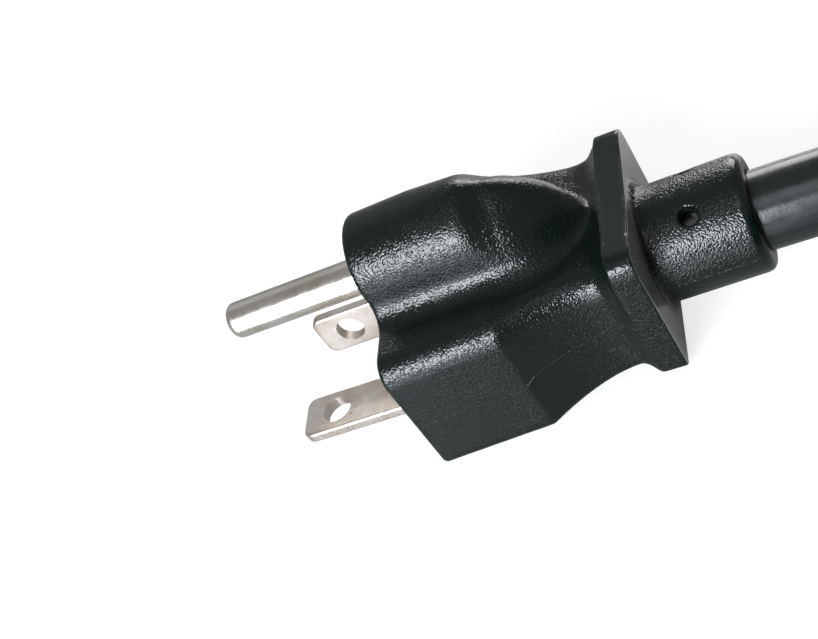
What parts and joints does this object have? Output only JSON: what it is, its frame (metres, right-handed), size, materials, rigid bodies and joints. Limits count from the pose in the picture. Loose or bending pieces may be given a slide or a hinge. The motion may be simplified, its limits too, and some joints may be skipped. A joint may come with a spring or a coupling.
{
  "type": "grounded power plug",
  "caption": "Moulded grounded power plug with crossed flat blades, a round ground pin, a finger-grip body with a guard plate and a moulded-on cord in a tied coil.",
  "frame": {"origin": "on the floor under the middle of the plug, with the cord left out", "axes": "X across the two blades, -Y the way the pins point, +Z from the blades towards the ground pin"},
  "size_m": [0.1344, 0.1863, 0.028],
  "materials": {
    "body_pvc": "black moulded PVC with a fine leathery grain",
    "cord_jacket": "smooth satin black PVC jacket",
    "carrier_plastic": "plain black inner frame",
    "pin_metal": "nickel-plated turned brass",
    "blade_metal": "nickel-plated stamped brass",
    "bare_copper": "bare copper strands",
    "green_insulation": "smooth green insulation",
    "black_insulation": "smooth black insulation",
    "white_insulation": "smooth white insulation",
    "tie_plastic": "black strap"
  },
  "bodies": {
    "root": {"moulded_body": "body_pvc", "pin_carrier": "carrier_plastic", "ground_pin": "pin_metal", "upright_blade": "blade_metal", "level_blade": "blade_metal", "ground_core": "green_insulation", "ground_strands": "bare_copper", "upright_line_core": "black_insulation", "upright_line_strands": "bare_copper", "level_line_core": "white_insulation", "level_line_strands": "bare_copper", "cord": "cord_jacket", "cord_coil": "cord_jacket", "coil_tie_1": "tie_plastic", "coil_tie_2": "tie_plastic", "ground_lead": "green_insulation", "ground_lead_end": "bare_copper", "upright_line_lead": "black_insulation", "upright_line_lead_end": "bare_copper", "level_line_lead": "white_insulation", "level_line_lead_end": "bare_copper"}
  },
  "joints": []
}
